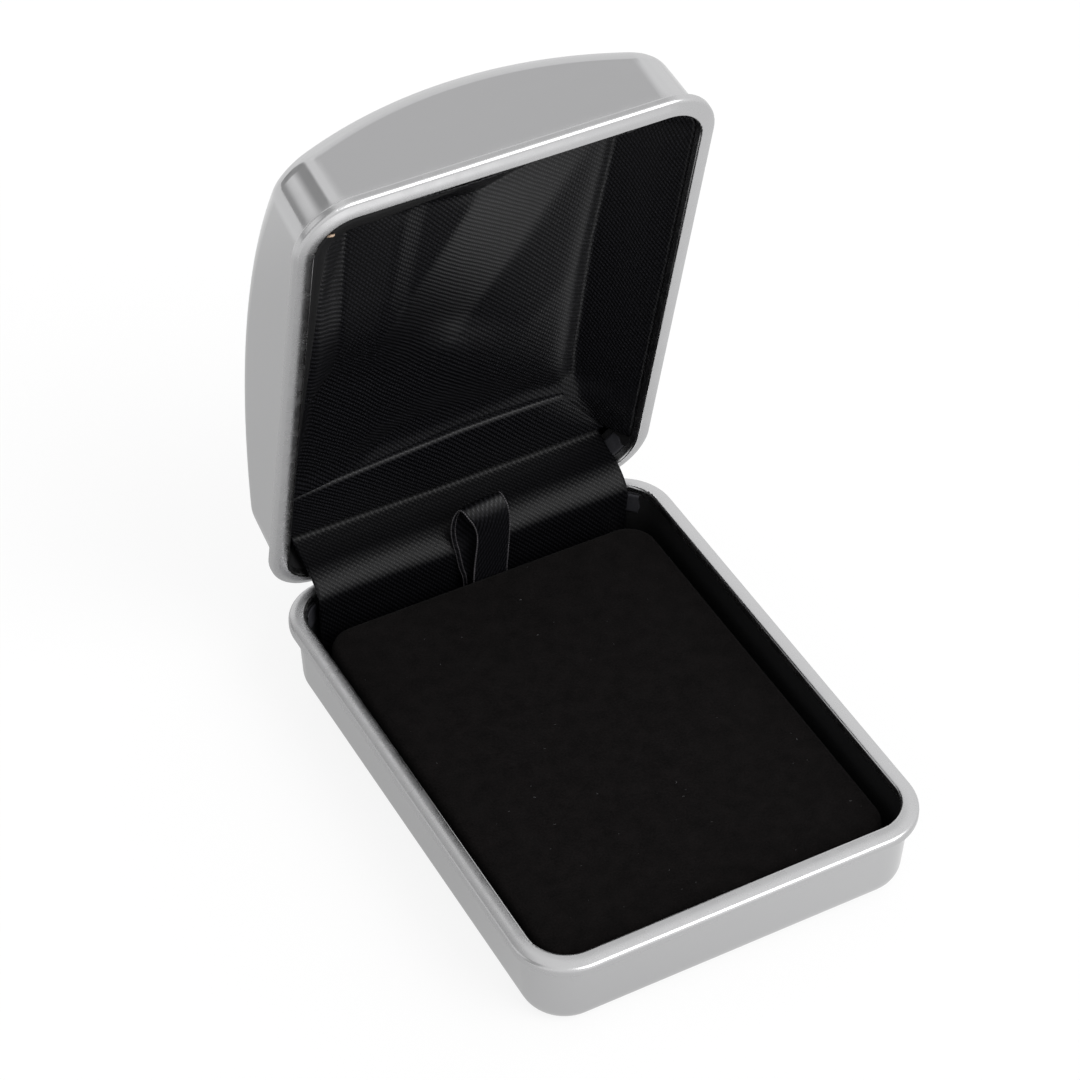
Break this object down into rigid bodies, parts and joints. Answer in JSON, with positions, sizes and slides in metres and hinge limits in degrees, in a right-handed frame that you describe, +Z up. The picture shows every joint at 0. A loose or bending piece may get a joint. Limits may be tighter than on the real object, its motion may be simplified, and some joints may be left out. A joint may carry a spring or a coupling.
{
  "type": "presentation box",
  "caption": "Small hinged metal presentation box standing open, with a crowned lid, black satin lining, velvet pad and ribbon pull.",
  "frame": {"origin": "middle of the flat underside of the base", "axes": "+X across the width, +Y towards the hinge, +Z up"},
  "size_m": [0.0684, 0.1092, 0.1044],
  "materials": {
    "bright_plate": "bright plated pressed sheet",
    "zinc_steel": "zinc plated sheet",
    "spring_steel": "blued spring strip",
    "black_card": "black paper-faced card",
    "black_satin": "satin weave",
    "black_velvet": "short pile velvet",
    "foam": "soft foam",
    "wadding": "polyester wadding"
  },
  "bodies": {
    "base": {"base_shell": "bright_plate", "base_wall_lining": "black_card", "base_floor_card": "black_card", "base_hinge_leaf": "zinc_steel", "hinge_pin": "zinc_steel", "hinge_satin_flap": "black_satin"},
    "lid": {"lid_shell": "bright_plate", "lid_wall_lining": "black_card", "lid_wadding": "wadding", "lid_satin": "black_satin", "lid_band_card": "black_card", "lid_hinge_leaf": "zinc_steel"},
    "left_spring": {"snap_spring_left": "spring_steel"},
    "right_spring": {"snap_spring_right": "spring_steel"},
    "pad": {"pad_foam": "foam", "pad_board": "black_card", "pad_velvet": "black_velvet", "ribbon_pull": "black_satin"}
  },
  "joints": [
    {"name": "lid_hinge", "type": "hinge", "parent": "base", "child": "lid", "pos_m": [0, 0.0445, 0.01525], "axis": [1, 0, 0], "range_deg": [0, 77.9], "deforming": ["hinge_satin_flap", "ribbon_pull"]},
    {"name": "left_spring_rock", "type": "hinge", "parent": "base", "child": "left_spring", "pos_m": [0, 0.04246, 0.01055], "axis": [1, 0, 0], "range_deg": [0, 38.95]},
    {"name": "right_spring_rock", "type": "hinge", "parent": "base", "child": "right_spring", "pos_m": [0, 0.04246, 0.01055], "axis": [1, 0, 0], "range_deg": [0, 38.95]},
    {"name": "pad_lift", "type": "slide", "parent": "base", "child": "pad", "axis": [0, 0, 1], "range_m": [0, 0.006]}
  ],
  "couplings": [
    {"joint": "left_spring_rock", "follows": "lid_hinge", "ratio": 0.5},
    {"joint": "right_spring_rock", "follows": "lid_hinge", "ratio": 0.5}
  ]
}
